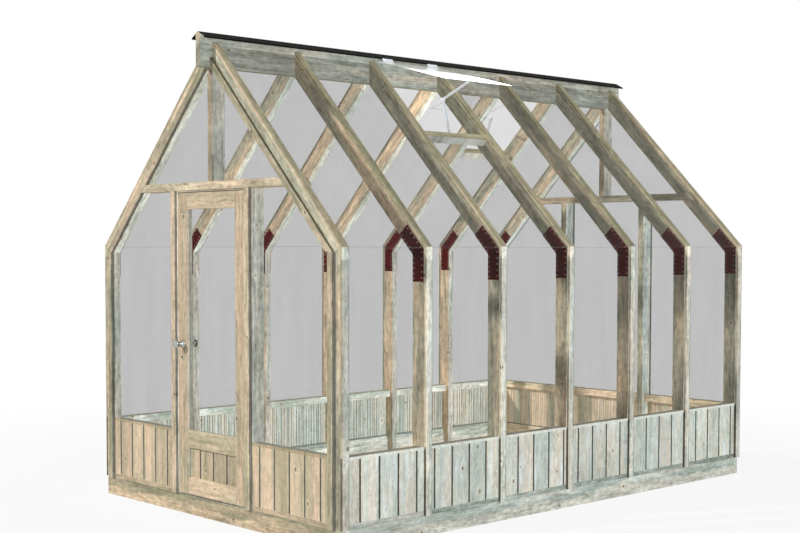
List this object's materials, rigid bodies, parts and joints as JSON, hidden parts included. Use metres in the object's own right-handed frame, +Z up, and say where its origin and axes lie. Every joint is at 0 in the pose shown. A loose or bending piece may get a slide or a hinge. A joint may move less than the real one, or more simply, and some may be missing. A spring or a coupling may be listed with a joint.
{
  "type": "glass greenhouse",
  "caption": "Timber-framed glass greenhouse with a pitched roof, board apron, ridge cap, open roof vents and a hinged half-glazed door in one gable.",
  "frame": {"origin": "middle of the plan, at ground level under the sills", "axes": "+Z up, +Y along the ridge from the door gable to the back gable, +X to the right seen from outside the door"},
  "size_m": [2.334, 3.902, 2.8475],
  "materials": {
    "timber": "planed, pressure treated",
    "sill_timber": "planed, pressure treated",
    "laths": "planed, pressure treated",
    "boards": "planed, pressure treated, grooved",
    "door_timber": "planed, pressure treated",
    "glass": "clear float glass",
    "knee_steel": "satin paint",
    "ridge_metal": "satin paint",
    "vent_metal": "bright",
    "hinge_steel": "zinc plated",
    "knob_metal": "polished"
  },
  "bodies": {
    "building": {"gable_sills": "sill_timber", "side_sills": "sill_timber", "left_posts": "timber", "right_posts": "timber", "left_rafters": "timber", "right_rafters": "timber", "left_knee_plates": "knee_steel", "right_knee_plates": "knee_steel", "ridge_beam": "timber", "ridge_cap": "ridge_metal", "left_wall_laths": "laths", "right_wall_laths": "laths", "left_roof_laths": "laths", "right_roof_laths": "laths", "front_gable_laths": "laths", "back_gable_laths": "laths", "front_gable_rail": "timber", "back_gable_rail": "timber", "rail_laths": "laths", "king_posts": "timber", "door_jambs": "timber", "jamb_laths": "laths", "back_studs": "timber", "back_stud_laths": "laths", "left_cladding": "boards", "right_cladding": "boards", "front_cladding": "boards", "back_cladding": "boards", "side_apron_rails": "boards", "gable_apron_rails": "boards", "left_wall_glass": "glass", "right_wall_glass": "glass", "left_roof_glass": "glass", "right_roof_glass": "glass", "front_gable_glass": "glass", "back_gable_glass": "glass", "vent_panes": "glass", "vent_hinges": "vent_metal", "vent_trimmers": "timber", "vent_openers": "vent_metal", "jamb_hinges": "hinge_steel"},
    "door": {"door_stiles": "door_timber", "door_rails": "door_timber", "door_panel": "door_timber", "door_glass": "glass", "door_knobs": "knob_metal", "door_hinges": "hinge_steel"}
  },
  "joints": [
    {"name": "door_hinge", "type": "hinge", "parent": "building", "child": "door", "pos_m": [0.337, -1.8755, 0], "axis": [0, 0, 1], "range_deg": [0, 105]}
  ]
}
